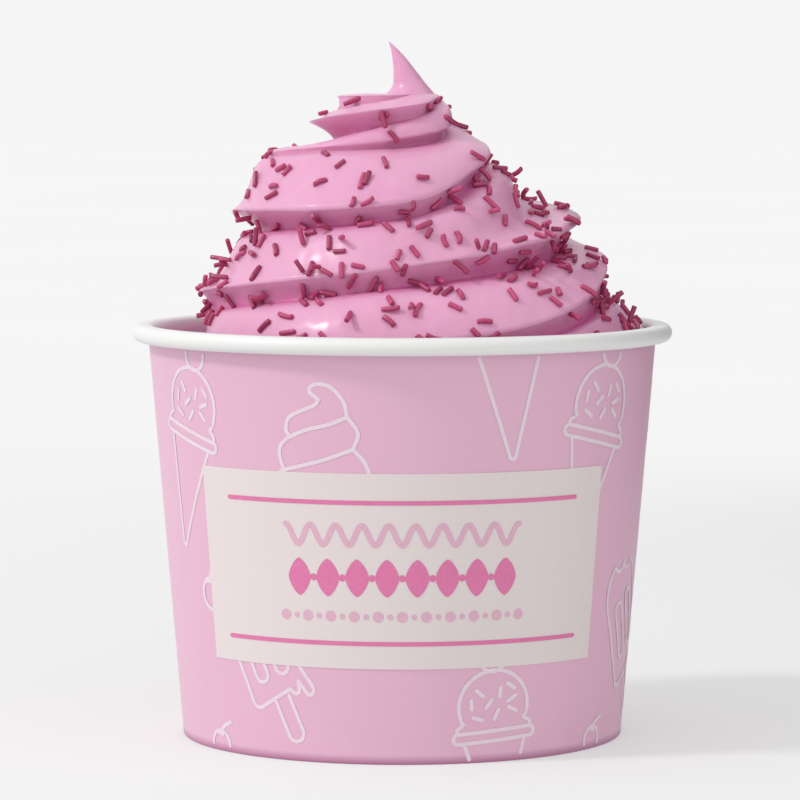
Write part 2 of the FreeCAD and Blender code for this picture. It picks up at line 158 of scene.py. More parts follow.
def sprinkle_material():
    """Raspberry sugar sprinkles: slightly glossy, each a slightly different red."""
    paint = Paint("sprinkle_sugar", Subsurface_Weight=0.1, Subsurface_Scale=0.0005, Coat_Weight=0.2,
                  Coat_Roughness=0.25)
    shade = paint.node("ShaderNodeAttribute")
    shade.attribute_name = "shade"
    wax = paint.grain(900.0, 3.0)
    body = paint.mix(shade.outputs["Fac"], tone("931F50"), tone("BA3F70"))
    paint.color(paint.mix(paint.span(wax, 0.4, 0.8, 0.0, 0.25), body, tone("C45A86")))
    paint.rough(paint.span(wax, 0.3, 0.7, 0.32, 0.48))
    paint.bump(wax, 0.25, 0.0002)
    return paint.material


def board_grain(paint, low, high):
    """Paper fibre in the roughness and the surface."""
    fibre = paint.grain(1400.0, 4.0, 0.65)
    paint.rough(paint.span(fibre, 0.3, 0.7, low, high))
    paint.bump(fibre, 0.12, 0.0002)
    return fibre


def printed_board_material():
    """White board, printed pink on the wall's outside only, with painted shade darkening the pink along
    the foot.
    """
    paint = Paint("printed_board", Coat_Weight=0.25, Coat_Roughness=0.35)
    fibre = board_grain(paint, 0.42, 0.58)
    place = paint.node("ShaderNodeSeparateXYZ", Vector=paint.place())
    across, deep, up = place.outputs
    radius = paint.math("SQRT", paint.math("ADD", paint.math("POWER", across, 2.0),
                                           paint.math("POWER", deep, 2.0)))
    middle = paint.span(up, 0.0, SHOULDER_HEIGHT * MM, (FOOT_RADIUS - WALL_BOARD / 2) * MM,
                        (SHOULDER_RADIUS - WALL_BOARD / 2) * MM)
    outer = paint.math("GREATER_THAN", radius, middle)
    below = paint.math("LESS_THAN", up, (SHOULDER_HEIGHT - 0.05) * MM)
    printed = paint.math("MULTIPLY", outer, below)
    pink = paint.mix(paint.span(fibre, 0.3, 0.7, 0.0, 0.12), tone("DBABC3"), tone("E1BACE"))
    # Painted shade: the pink darkens towards A25C86 in the lowest 1.7 mm, where the foot meets the floor.
    pink = paint.mix(paint.span(up, 0.3 * MM, 1.7 * MM, 0.85, 0.0), pink, tone("A25C86"))
    white = paint.mix(paint.span(fibre, 0.3, 0.7, 0.0, 0.2), tone("E2E2E1"), tone("DAD9D7"))
    paint.color(paint.mix(printed, white, pink))
    return paint.material


def plain_board_material(name, first, second):
    """Unprinted board, or ink on it, between two close colours."""
    paint = Paint(name, Coat_Weight=0.08, Coat_Roughness=0.4)
    fibre = board_grain(paint, 0.45, 0.6)
    paint.color(paint.mix(paint.span(fibre, 0.3, 0.7), tone(first), tone(second)))
    return paint.material


# ---------------------------------------------------------------- helpers for pieces

def put_material(piece, material):
    piece.data.materials.clear()
    piece.data.materials.append(material)


def make_piece(name, points, faces, material, stands_for=(), smooth=True):
    """A mesh piece of the object, from points in millimetres."""
    mesh = bpy.data.meshes.new(name)
    mesh.from_pydata([tuple(c * MM for c in point) for point in points], [], faces)
    mesh.validate()
    mesh.polygons.foreach_set("use_smooth", [smooth] * len(mesh.polygons))
    piece = bpy.data.objects.new(name, mesh)
    bpy.context.scene.collection.objects.link(piece)
    put_material(piece, material)
    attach(piece, "root")
    if stands_for:
        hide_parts(*stands_for)
    return piece


def wall_radius(height):
    """The outer radius of the wall's cone at a height over the table."""
    return FOOT_RADIUS + (SHOULDER_RADIUS - FOOT_RADIUS) * height / SHOULDER_HEIGHT


# ---------------------------------------------------------------- the swirl

# The rows are the CAD model's: turns from +X, radius, height over the rim, how far the groove under the
# ridge cuts in and lies below it, and how much the slope above the ridge flares.
RIDGE_LOW = [
    (-0.25, 42.0, -6.0, 0.0, 0.0, 0.0),
    (0.00, 44.2, -1.0, 2.0, 3.0, 0.5),
    (0.25, 41.5, 2.5, 2.0, 3.2, 0.5),
    (0.50, 36.9, 6.0, 2.1, 3.9, 0.6),
    (0.75, 33.0, 11.6, 1.9, 3.8, 0.3),
    (1.00, 32.3, 19.4, 3.8, 5.6, 1.0),
    (1.25, 27.4, 25.2, 2.0, 3.4, 0.4),
    (1.38, 26.0, 28.4, 0.6, 2.0, 0.0),
    (1.50, 24.6, 30.8, 0.2, 1.0, 0.0),
    (1.60, 19.8, 32.0, 0.3, 0.8, 0.0),
    (1.68, 15.4, 32.8, 0.8, 1.2, 0.0),
    (1.75, 13.8, 33.8, 1.8, 1.8, 0.1),
    (1.88, 11.6, 35.8, 2.2, 2.2, 0.0),
    (2.00, 6.7, 38.2, 0.8, 2.0, 0.0),
    (2.25, 10.0, 40.6, 1.4, 2.0, 0.0),
    (2.50, 12.8, 41.0, 0.5, 2.4, -0.3),
    (2.75, 4.6, 41.6, 0.0, 0.0, 0.0),
]
RIDGE_HIGH = [
    (-0.40, 38.0, -6.0, 0.0, 0.0, 0.0),
    (-0.17, 42.0, 1.0, 1.4, 2.8, 0.2),
    (0.00, 37.0, 12.0, 1.6, 6.6, 0.2),
    (0.25, 33.6, 16.4, 2.8, 4.4, 0.3),
    (0.50, 31.1, 20.4, 4.8, 4.2, 0.6),
    (0.75, 28.0, 22.6, 2.3, 3.0, 0.1),
    (0.87, 20.5, 29.0, 2.0, 3.4, 0.1),
    (1.00, 15.2, 32.6, 1.6, 3.8, 0.3),
    (1.25, 15.8, 34.4, 3.4, 3.4, 0.2),
    (1.50, 17.0, 36.6, 4.6, 4.4, 0.6),
    (1.75, 12.8, 39.5, 1.6, 2.8, 0.2),
    (1.88, 6.8, 40.9, 0.5, 1.2, 0.0),
    (2.00, 4.4, 41.6, 0.0, 0.0, 0.0),
]
# The swirl's foot on the fill: turns from +X and radius. It stands off the wall on one side.
FOOT_ROWS = [
    (0.00, 43.3),
    (0.25, 41.5),
    (0.50, 36.0),
    (0.60, 38.0),
    (0.75, 42.0),
    (1.00, 43.3),
]
FOOT_LEVEL = -6.0
# The tip: height over the rim, radius, and its lean along X.
TIP_ROWS = [
    (41.6, 4.4, 1.5),
    (43.2, 3.2, 1.5),
    (44.8, 2.5, 0.9),
    (46.6, 1.85, 0.2),
    (48.4, 1.1, -0.7),
    (49.8, 0.55, -1.5),
    (51.2, 0.0, -2.5),
]
LEAN_START = 36.0
COLUMNS = 480
GROOVE_STEPS = 8
SLOPE_STEPS = 16
TIP_STEPS = 24
LAPS = (-1, 0, 1, 2)
LAP_ROWS = 2 * (SLOPE_STEPS + GROOVE_STEPS)
COIL_ROWS = 1 + len(LAPS) * LAP_ROWS
DEEP_GROOVE = 6.0               # a groove that cuts in and down by this much in all gets the darkest painted shade
MERGE = 0.004                   # points this close are one
SLIVER = 0.003                  # edges this short are taken out
RUFFLE_LOW = -5.5               # height over the rim; below it the swirl keeps to the fill
SWELL, SWELL_SCALE = 0.35, 0.09
TEAR, TEAR_SCALE = 0.10, 0.45


def between(rows, where):
    """A smooth curve through rows, whose first field is the position; gives the other fields."""
    where = min(max(where, rows[0][0]), rows[-1][0])
    index = max(i for i in range(len(rows) - 1) if rows[i][0] <= where or i == 0)
    before, after = rows[index], rows[index + 1]
    span = after[0] - before[0]
    step = (where - before[0]) / span
    earlier = rows[max(index - 1, 0)]
    later = rows[min(index + 2, len(rows) - 1)]
    square, cube = step ** 2, step ** 3
    values = []
    for field in range(1, len(before)):
        slope_in = (after[field] - earlier[field]) / (after[0] - earlier[0]) * span
        slope_out = (later[field] - before[field]) / (later[0] - before[0]) * span
        values.append((2 * cube - 3 * square + 1) * before[field] + (cube - 2 * square + step) * slope_in
                      + (3 * square - 2 * cube) * after[field] + (cube - square) * slope_out)
    return values


def bezier(points, steps):
    """Points along a cubic curve, without its first one."""
    curve = []
    for k in range(1, steps + 1):
        u = k / steps
        weights = ((1 - u) ** 3, 3 * u * (1 - u) ** 2, 3 * u ** 2 * (1 - u), u ** 3)
        curve.append(tuple(sum(w * p[axis] for w, p in zip(weights, points)) for axis in (0, 1)))
    return curve


def slope_curve(low, high, flare):
    """The slope from a ridge up to the groove under the next one: bulging, or flared near the ridge."""
    run, rise = high[0] - low[0], high[1] - low[1]
    bulge = (0.08, 0.60, 0.50, 0.95)
    flared = (0.98, 0.02, 0.40, 1.04)
    a, b, c, d = (m + flare * (n - m) for m, n in zip(bulge, flared))
    handles = [low, (low[0] + a * run, low[1] + b * rise), (low[0] + c * run, low[1] + d * rise), high]
    return bezier(handles, SLOPE_STEPS)


def groove_curve(low, ridge):
    """The undercut from the groove out to the ridge over it."""
    run, rise = ridge[0] - low[0], ridge[1] - low[1]
    handles = [low, (low[0] - 0.15 * run, low[1] + 0.45 * rise),
               (low[0] + 0.55 * run, low[1] + 0.80 * rise), ridge]
    return bezier(handles, GROOVE_STEPS)


def swirl_column(fraction):
    """The swirl's outline at one azimuth, as (radius, height, painted groove shade), foot to tip.

    Every lap of both ridges is there. One that hasn't begun lies on the foot, and one that has ended lies
    on the tip's base, so that each column has the same rows and the ridges run along them.
    """
    foot = (between(FOOT_ROWS, fraction)[0], FOOT_LEVEL)
    outline = [(*foot, 1.0)]
    flare = 0.0
    for lap in LAPS:
        for rows in (RIDGE_LOW, RIDGE_HIGH):
            begun = fraction + lap >= rows[0][0]
            row = between(rows, fraction + lap) if begun else (*foot, 0.0, 0.0, 0.0)
            radius, height, cut_in, cut_down, next_flare = row
            groove = (radius - cut_in, height - cut_down)
            slope = slope_curve(outline[-1][:2], groove, flare)
            under = groove_curve(groove, (radius, height))
            deep = min(1.0, (cut_in + cut_down) / DEEP_GROOVE)
            # Painted groove shade: dark over the slope's last quarter, then fading over three quarters of
            # the underside.
            outline += [(r, h, deep * max(0.0, 4.0 * (k + 1) / SLOPE_STEPS - 3.0))
                        for k, (r, h) in enumerate(slope)]
            outline += [(r, h, deep * max(0.0, 1 - 1.3 * (k + 1) / GROOVE_STEPS))
                        for k, (r, h) in enumerate(under)]
            flare = next_flare
    low, high = TIP_ROWS[0][0], TIP_ROWS[-1][0]
    for k in range(1, TIP_STEPS + 1):
        height = low + (high - low) * k / TIP_STEPS
        outline.append((max(between(TIP_ROWS, height)[0], 0.0), height, 0.0))
    return outline


def lean_at(height):
    """How far the coil's middle has moved along X at a height over the rim."""
    if height <= LEAN_START:
        return 0.0
    return between([(LEAN_START, 0.0)] + [(up, lean) for up, _, lean in TIP_ROWS], height)[0]


def ruffle(point, normal):
    """Small unevenness of piped cream: slow swells, and a fine tear along the way."""
    slow = noise.noise(point * SWELL_SCALE)
    fine = noise.noise(point * TEAR_SCALE + Vector((7.0, 3.0, 1.0)))
    return point + normal * (SWELL * slow + TEAR * fine)


def swirl_points():
    """The swirl's points in millimetres, each one's painted groove shade, and the points of each column.
    """
    points, groove_shades, columns = [], [], []
    for k in range(COLUMNS):
        fraction = k / COLUMNS
        angle = 2 * math.pi * fraction
        column = []
        for radius, height, groove_shade in swirl_column(fraction):
            column.append(len(points))
            points.append(Vector((lean_at(height) + radius * math.cos(angle),
                                  radius * math.sin(angle), RIM_TOP + height)))
            groove_shades.append(groove_shade)
        columns.append(column)
    return points, groove_shades, columns


def swirl_faces(columns):
    """Four-sided faces between each column and the next."""
    first = columns[0]
    last = len(first) - 1
    # The first column met again one lap on: its rows are one lap further up.
    closing = [first[i + LAP_ROWS] if i + LAP_ROWS < COIL_ROWS else first[max(i, COIL_ROWS - 1)]
               for i in range(last + 1)]
    faces = []
    for left, right in zip(columns, columns[1:] + [closing]):
        faces += [(left[i], right[i], right[i + 1], left[i + 1]) for i in range(last)]
    return [face for face in faces if len(set(face)) == 4]


def make_swirl():
    """The soft serve swirl, with its rows running along the ridges as they climb."""
    points, groove_shades, columns = swirl_points()
    bm = bmesh.new()
    # The "groove" attribute carries the painted shade for the cream's colour.
    groove_shade_layer = bm.verts.layers.float.new("groove")
    verts = [bm.verts.new(point) for point in points]
    for vert, groove_shade in zip(verts, groove_shades):
        vert[groove_shade_layer] = groove_shade
    for face in swirl_faces(columns):
        bm.faces.new([verts[i] for i in face])
    bmesh.ops.remove_doubles(bm, verts=bm.verts, dist=MERGE)
    bmesh.ops.dissolve_degenerate(bm, edges=bm.edges, dist=SLIVER)
    rim = [edge for edge in bm.edges if edge.is_boundary]
    bmesh.ops.holes_fill(bm, edges=rim, sides=0)
    bm.normal_update()
    moved = [ruffle(vert.co, vert.normal) if vert.co.z > RIM_TOP + RUFFLE_LOW else vert.co.copy()
             for vert in bm.verts]
    for vert, place in zip(bm.verts, moved):
        vert.co = place
    bmesh.ops.scale(bm, vec=(MM, MM, MM), verts=bm.verts)
    mesh = bpy.data.meshes.new("swirl_coils")
    bm.to_mesh(mesh)
    bm.free()
    mesh.polygons.foreach_set("use_smooth", [True] * len(mesh.polygons))
    swirl = bpy.data.objects.new("swirl_coils", mesh)
    bpy.context.scene.collection.objects.link(swirl)
    put_material(swirl, cream_material())
    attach(swirl, "root")
    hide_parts("soft_serve_swirl")
    return swirl


# ---------------------------------------------------------------- the sprinkles

SPRINKLE_NODES = ("sprinkles_rim_coil", "sprinkles_lower_coil", "sprinkles_middle_coil",
                  "sprinkles_top_coil")
SPRINKLE_RADIUS = 0.46
SPRINKLE_SINK = 0.20            # how deep it lies in the cream
SPRINKLE_EDGE = 0.14            # rounding of a sprinkle's cut ends
SPRINKLE_SIDES = 9
BENT_SHARE = 0.4
BENT = (0.15, 0.42)             # how far a bent one bows out, at least and at most
NEARLY_STRAIGHT = (0, 0.06)
THICKNESS = (0.9, 1.08)         # shares of the radius
AXIS_ROUNDS = 20                # of finding a rod's direction again from the last answer


def rods_of(node):
    """Each separate rod of a CAD node, as its middle, direction and half length in millimetres."""
    bm = bmesh.new()
    bm.from_mesh(node.data)
    bmesh.ops.remove_doubles(bm, verts=bm.verts, dist=1e-6)
    seen = set()
    rods = []
    for start in bm.verts:
        if start in seen:
            continue
        seen.add(start)
        island, front = [start], [start]
        while front:
            vert = front.pop()
            for edge in vert.link_edges:
                other = edge.other_vert(vert)
                if other not in seen:
                    seen.add(other)
                    island.append(other)
                    front.append(other)
        places = [vert.co / MM for vert in island]
        middle = sum(places, Vector()) / len(places)
        axis = (max(places, key=lambda place: (place - middle).length) - middle).normalized()
        for _ in range(AXIS_ROUNDS):
            pulls = ((place - middle) * (place - middle).dot(axis) for place in places)
            axis = sum(pulls, Vector()).normalized()
        reach = [(place - middle).dot(axis) for place in places]
        middle = middle + axis * (max(reach) + min(reach)) / 2
        rods.append((middle, axis, (max(reach) - min(reach)) / 2))
    bm.free()
    return rods


def settle(middle, axis, half, skin):
    """Moves a rod along the surface's normal until it lies on the cream, a little sunk in."""
    heights = []
    for place in (middle - axis * half, middle, middle + axis * half):
        near, normal, _, _ = skin.find_nearest(place * MM)
        heights.append((place - near / MM).dot(normal))
    near, normal, _, _ = skin.find_nearest(middle * MM)
    return middle + normal * (SPRINKLE_RADIUS - SPRINKLE_SINK - min(heights))


def rod_rows(half, radius):
    """Positions along a rod and the radius there: cut ends with soft edges, and a straight middle."""
    edge = SPRINKLE_EDGE
    turns = [math.radians(a) for a in (0, 45, 90)]
    cap = [(-half, 0.4 * radius)] + [(edge - half - edge * math.cos(a), radius - edge + edge * math.sin(a))
                                     for a in turns]
    middle = [(half * share, radius) for share in (-0.4, 0.0, 0.4)]
    return cap + middle + [(-along, across) for along, across in reversed(cap)]


def add_rod(points, faces, middle, axis, half, chance):
    """Adds one sprinkle to the points and faces, turned at random and perhaps bent."""
    side = axis.orthogonal().normalized()
    side.rotate(Matrix.Rotation(chance.uniform(0, 2 * math.pi), 3, axis))
    other = axis.cross(side)
    bend = chance.uniform(*BENT) if chance.random() < BENT_SHARE else chance.uniform(*NEARLY_STRAIGHT)
    rows = rod_rows(half, SPRINKLE_RADIUS * chance.uniform(*THICKNESS))
    first = len(points)
    for along, across in rows:
        bow = bend * (1 - (along / half) ** 2)
        centre = middle + axis * along + side * (bow - bend / 2)
        for k in range(SPRINKLE_SIDES):
            turn = 2 * math.pi * k / SPRINKLE_SIDES
            points.append(centre + (side * math.cos(turn) + other * math.sin(turn)) * across)
    for row in range(len(rows) - 1):
        start = first + row * SPRINKLE_SIDES
        for k in range(SPRINKLE_SIDES):
            a, b = start + k, start + (k + 1) % SPRINKLE_SIDES
            faces.append((a, b, b + SPRINKLE_SIDES, a + SPRINKLE_SIDES))
    faces.append(tuple(first + k for k in reversed(range(SPRINKLE_SIDES))))
    faces.append(tuple(len(points) - SPRINKLE_SIDES + k for k in range(SPRINKLE_SIDES)))


def make_sprinkles(skin):
    """The sprinkles of each CAD group, laid on the swirl's finished surface."""
    material = sprinkle_material()
    for node in SPRINKLE_NODES:
        chance = random.Random(node)
        points, faces, shades = [], [], []
        for middle, axis, half in rods_of(NODES[node]):
            add_rod(points, faces, settle(middle, axis, half, skin), axis, half, chance)
            shades += [chance.random()] * (len(points) - len(shades))
        piece = make_piece(node + "_sugar", points, faces, material, (node,))
        layer = piece.data.attributes.new("shade", "FLOAT", "POINT")
        layer.data.foreach_set("value", shades)


# ---------------------------------------------------------------- print on the paper

PRINT_LOW = 0.5                 # the foot's rounding cuts the print off here
PRINT_HIGH = SHOULDER_HEIGHT - 0.3
LONGEST_STEP = 1.0              # between the points of a printed line
MARK_STEP = 0.004               # each mark lies this much higher than the one before it,
MARK_CYCLE = 7                  # over this many marks, so that crossing marks don't coincide
LINE_WIDTH = 0.72
LEAST_MITRE = 0.55              # a corner's sides are drawn out no further than this allows
TURNS_BACK = 0.2                # below this, the two directions at a mark are nearly opposite
DISC_STEPS = 14


class Print:
    """Flat print wrapped on the tub's wall: lines and filled shapes, laid out in millimetres."""

    def __init__(self, lift):
        self.lift = lift
        self.marks = 0
        self.points = []
        self.faces = []
        self.set_place(0.0, 0.0)

    def set_place(self, azimuth, height, tilt=0.0, size=1.0):
        """Where the next marks' own origin goes: degrees right of the label's middle, and height."""
        self.azimuth, self.height, self.size = azimuth, height, size
        self.turn = Matrix.Rotation(math.radians(tilt), 2)

    def flat(self, point):
        """A mark's place on the wall laid flat: millimetres right of the marks' origin, and height."""
        moved = self.turn @ Vector(point) * self.size
        return Vector((moved.x, moved.y + self.height))

    def wrap(self, spot):
        """The point in space of a place on the wall laid flat; on the glued lap it lies higher."""
        angle = math.radians(FRONT + self.azimuth) + spot.x / wall_radius(self.height)
        radius = wall_radius(spot.y) + self.lift + MARK_STEP * (self.marks % MARK_CYCLE)
        from_back = (angle - math.radians(FRONT)) % (2 * math.pi) - math.pi
        if abs(from_back) * SHOULDER_RADIUS < SEAM_LAP / 2 + LONGEST_STEP:
            radius += SEAM_STEP
        return (radius * math.cos(angle), radius * math.sin(angle), spot.y)

    def line(self, marks, width=LINE_WIDTH):
        """A line of even width through the marks, with round ends; off the wall it is cut away."""
        self.marks += 1
        spots = [self.flat(mark) for mark in marks]
        fine = [spots[0]]
        for before, after in zip(spots, spots[1:]):
            steps = max(1, math.ceil((after - before).length / LONGEST_STEP))
            fine += [before.lerp(after, k / steps) for k in range(1, steps + 1)]
        run = []
        for spot in fine + [None]:
            if spot is not None and PRINT_LOW <= spot.y <= PRINT_HIGH:
                run.append(spot)
                continue
            if len(run) > 1:
                self.ribbon(run, width / 2)
            run = []

    def ribbon(self, run, half):
        """The faces of a line with the given half width; its ends are round unless it is a loop."""
        looped = (run[0] - run[-1]).length < 1e-6
        for k, spot in enumerate(run):
            before = run[k - 1] if k else (run[-2] if looped else spot)
            after = run[k + 1] if k < len(run) - 1 else (run[1] if looped else spot)
            into = (spot - before).normalized() if before != spot else (after - spot).normalized()
            out = (after - spot).normalized() if after != spot else into
            along = (into + out).normalized() if (into + out).length > TURNS_BACK else into
            side = Vector((-along.y, along.x)) * (half / max(LEAST_MITRE, along.dot(into)))
            self.points += [self.wrap(spot + side), self.wrap(spot - side)]
        first = len(self.points) - 2 * len(run)
        for k in range(len(run) - 1):
            a = first + 2 * k
            self.faces.append((a, a + 1, a + 3, a + 2))
        if not looped:
            for end, inner in ((run[0], run[1]), (run[-1], run[-2])):
                self.disc(end, half, (end - inner).normalized())

    def disc(self, spot, radius, facing=None):
        """A filled circle, or the half of one that faces a direction."""
        start = math.atan2(facing.y, facing.x) - math.pi / 2 if facing else 0.0
        sweep = math.pi if facing else 2 * math.pi
        turns = [start + sweep * k / DISC_STEPS for k in range(DISC_STEPS + 1)]
        self.solid(spot, [spot + radius * Vector((math.cos(t), math.sin(t))) for t in turns])

    def solid(self, middle, rim):
        """A fan of faces from the middle to each stretch of the rim."""
        first = len(self.points)
        self.points += [self.wrap(middle)] + [self.wrap(spot) for spot in rim]
        self.faces += [(first, first + k, first + k + 1) for k in range(1, len(rim))]

    def blot(self, marks):
        """A filled shape whose edge can be seen all round from its own middle."""
        rim = [self.flat(mark) for mark in marks]
        middle = sum(rim, Vector((0.0, 0.0))) / len(rim)
        self.solid(middle, rim + [rim[0]])

    def piece(self, name, material, slot):
        return make_piece(name, self.points, self.faces, material, smooth=False)


def arc(middle, radius, start, end, steps=18):
    """Marks along an arc, from start to end in degrees."""
    turns = [math.radians(start + (end - start) * k / steps) for k in range(steps + 1)]
    return [(middle[0] + radius * math.cos(t), middle[1] + radius * math.sin(t)) for t in turns]


def curve(marks, steps=8):
    """A smooth line through the marks."""
    rows = [(float(k), *mark) for k, mark in enumerate(marks)]
    count = (len(marks) - 1) * steps
    return [tuple(between(rows, k / steps)) for k in range(count + 1)]


def draw_cherry(ink, middle, radius):
    """A cherry with a short stem."""
    x, y = middle
    stem = [(0.0, 0.8), (0.4, 1.3), (1.2, 1.7)]
    ink.line(arc(middle, radius, 0, 360))
    ink.line([(x - radius * 0.35, y + radius * 0.9), (x + radius * 0.25, y + radius * 0.7)])
    ink.line(curve([(x + radius * right, y + radius * up) for right, up in stem]))


SCOOP_STROKES = [
    ((-2.9, 7.6), (-1.8, 6.6)), ((-3.8, 6.1), (-3.8, 4.7)), ((-1.4, 4.6), (-0.4, 5.8)),
    ((1.2, 7.6), (1.0, 6.2)), ((2.5, 8.2), (3.6, 7.3)), ((3.8, 6.1), (2.4, 5.3)),
    ((2.5, 4.4), (3.8, 3.6)), ((0.0, 2.7), (0.7, 4.1)), ((-3.6, 3.3), (-2.1, 2.7)),
]
SCOOP_CHERRY = 2.2              # radius of the cherry on a scoop
LONE_CHERRY = 2.1


def draw_cone(ink):
    """A scoop in a cone, with a cherry; its own origin is the middle of the band at the cone's mouth."""
    ink.line([(-5.3, -0.8), (-0.55, -16.9)] + arc((0.0, -16.9), 0.55, 200, 340, 6) + [(5.3, -0.8)])
    ink.line(arc((-6.2, 0.0), 0.8, 90, 270, 8) + arc((6.2, 0.0), 0.8, -90, 90, 8) + [(-6.2, 0.8)])
    ink.line(curve([(-6.3, 0.9), (-6.3, 1.5), (-5.3, 2.3)]) + arc((0.0, 4.7), 5.9, 204, -18, 28)
             + curve([(5.6, 2.9), (5.2, 2.4), (6.2, 1.7), (6.3, 0.9)]))
    for stroke in SCOOP_STROKES:
        ink.line(stroke)
    draw_cherry(ink, (0.0, 12.6), SCOOP_CHERRY)


def draw_swirl(ink):
    """A piped swirl; its own origin is in its lowest coil."""
    ink.line(curve([(0.1, 13.0), (-1.5, 14.4), (-0.5, 15.6), (2.2, 15.2), (4.4, 12.8), (5.1, 10.0)]))
    ink.line(curve([(0.1, 13.0), (-0.8, 11.9), (-5.1, 10.0), (-6.1, 7.8), (-5.6, 6.6)]))
    ink.line(curve([(5.1, 10.0), (1.6, 8.6), (-2.4, 7.6), (-6.4, 5.7), (-7.6, 3.6), (-6.9, 0.6)]))
    ink.line(curve([(5.1, 10.0), (6.9, 7.2), (6.0, 4.4)]))
    ink.line(curve([(6.0, 4.4), (2.8, 3.2), (-0.5, 2.1), (-6.9, 0.5)]))
    ink.line(curve([(6.0, 4.4), (8.0, 2.1), (8.7, -0.4), (7.6, -2.6)]))
    ink.line(curve([(-6.9, 0.5), (-9.0, -1.0), (-9.4, -3.2), (-8.0, -4.8), (-2.6, -5.2), (3.0, -4.2),
                    (7.6, -2.6)]))


def draw_popsicle(ink, bitten):
    """An ice on a stick, bitten or dripping; its own origin is the middle of its body."""
    left = [(-5.4, -6.6), (-5.4, 4.0)]
    if bitten:
        top = (arc((0.0, 4.0), 5.4, 180, 112, 8) + arc((0.0, 9.6), 1.7, 200, 320, 6)
               + arc((2.9, 8.6), 1.7, 200, 320, 6))
        right = [(5.4, 6.0), (5.4, -6.6)]
        foot = arc((4.2, -6.8), 1.2, 0, -90, 5) + arc((-4.2, -6.8), 1.2, -90, -180, 5)
    else:
        top = arc((0.0, 4.0), 5.4, 180, 0, 16)
        right = [(5.4, 4.0), (5.7, -2.8)]
        drips = [(5.7, -2.8), (4.9, -4.4), (5.7, -8.4), (4.5, -9.0), (3.8, -6.6), (3.3, -8.0), (2.5, -8.1),
                 (1.9, -7.2)]
        foot = curve(drips, 4) + arc((-4.2, -6.8), 1.2, -90, -180, 5)
    ink.line(left + top + right + foot)
    for x in (-2.0, 2.0):
        ink.line([(x - 1.1, -3.6), (x - 1.1, 2.6)] + arc((x, 2.6), 1.1, 180, 0, 8) + [(x + 1.1, -3.6)]
                 + arc((x, -3.6), 1.1, 0, -180, 8))
    ink.line([(-1.3, -8.0), (-1.3, -13.6)] + arc((0.0, -13.6), 1.3, 180, 360, 8) + [(1.3, -8.0)])


# The wall's line drawings: what, degrees right of the label's middle, height, tilt and size.
DRAWINGS = [
    ("cone", -57.2, 56.3, -14, 1.17), ("swirl", -18.7, 51.1, 0, 1.0),
    ("cone", 23.7, 73.5, 4, 1.15), ("cone", 49.5, 56.6, -12, 1.2),
    ("bitten", 72.2, 22.2, 24, 1.3), ("dripping", -35.8, 19.7, 23, 1.17),
    ("cherry", -53.0, 1.3, 0, 1.2), ("cone", 23.6, 4.8, 4, 1.1),
    ("cherry", 56.8, 1.9, 0, 1.1), ("cherry", -52.0, 28.4, 20, 1.4),
    ("cone", 97.0, 56.0, 12, 1.1), ("swirl", 101.5, 11.5, -8, 0.95),
    ("dripping", 126.0, 34.0, -24, 1.15), ("cherry", 118.0, 62.0, 20, 1.3),
    ("cone", 144.0, 17.0, 10, 1.1), ("swirl", 147.0, 50.0, 6, 1.1),
    ("cherry", 164.0, 36.0, -15, 1.3), ("bitten", 173.0, 57.0, 16, 1.1),
    ("cone", -168.0, 28.0, -12, 1.1), ("cherry", -174.0, 3.0, 0, 1.3),
    ("swirl", -147.0, 57.0, -8, 1.0), ("dripping", -142.0, 20.0, 20, 1.15),
    ("cherry", -126.0, 44.0, 10, 1.3), ("cone", -112.0, 62.0, 12, 1.1),
    ("cone", -100.0, 22.0, -8, 1.1), ("cherry", -122.0, 9.0, 0, 1.2),
    ("cherry", 125.0, 4.0, -10, 1.2),
]


def make_wall_drawings():
    """The white line drawings all round the wall, as one piece."""
    ink = Print(PRINT_LIFT)
    for what, azimuth, height, tilt, scale in DRAWINGS:
        ink.set_place(azimuth, height, tilt, scale)
        if what == "cone":
            draw_cone(ink)
        elif what == "swirl":
            draw_swirl(ink)
        elif what == "cherry":
            draw_cherry(ink, (0.0, 0.0), LONE_CHERRY)
        else:
            draw_popsicle(ink, bitten=what == "bitten")
    ink.piece("wall_line_drawings", plain_board_material("white_ink", "E6D3DC", "DCC9D3"), "white_board")


# The label's print: half sweeps in degrees, and heights over the label's lower edge.
RULE_HALF_SWEEP = 44.5
ORNAMENT_HALF_SWEEP = 28.0
SWEEP_HEIGHT = 17               # where the sweeps are measured
RULE_HEIGHTS = (4.45, 29.2)
RULE_WIDTH = 0.78
WAVE_HEIGHT = 23.5
WAVES = 9
WAVE_REACH = 1.7
WAVE_WIDTH = 1.0
WAVE_STEPS = 90                 # in each half of the line
LOZENGE_HEIGHT = 16.0
LOZENGES = 8
LOZENGE_HALF = (2.1, 3.3)       # across and up
LOZENGE_POINTING = 0.35         # 0 would be an ellipse
LOZENGE_STEPS = 40
BEAD_RADIUS = 0.62              # of the dots between lozenges
DOT_HEIGHT = 9.2
DOTS = 21
DOT_RADII = (0.95, 0.5)         # by turns


def draw_wave(ink, half):
    """A wavy line of the given half length."""
    ink.line([(half * (k / WAVE_STEPS - 1), WAVE_REACH * math.cos(math.pi * WAVES * k / WAVE_STEPS))
              for k in range(2 * WAVE_STEPS + 1)], width=WAVE_WIDTH)


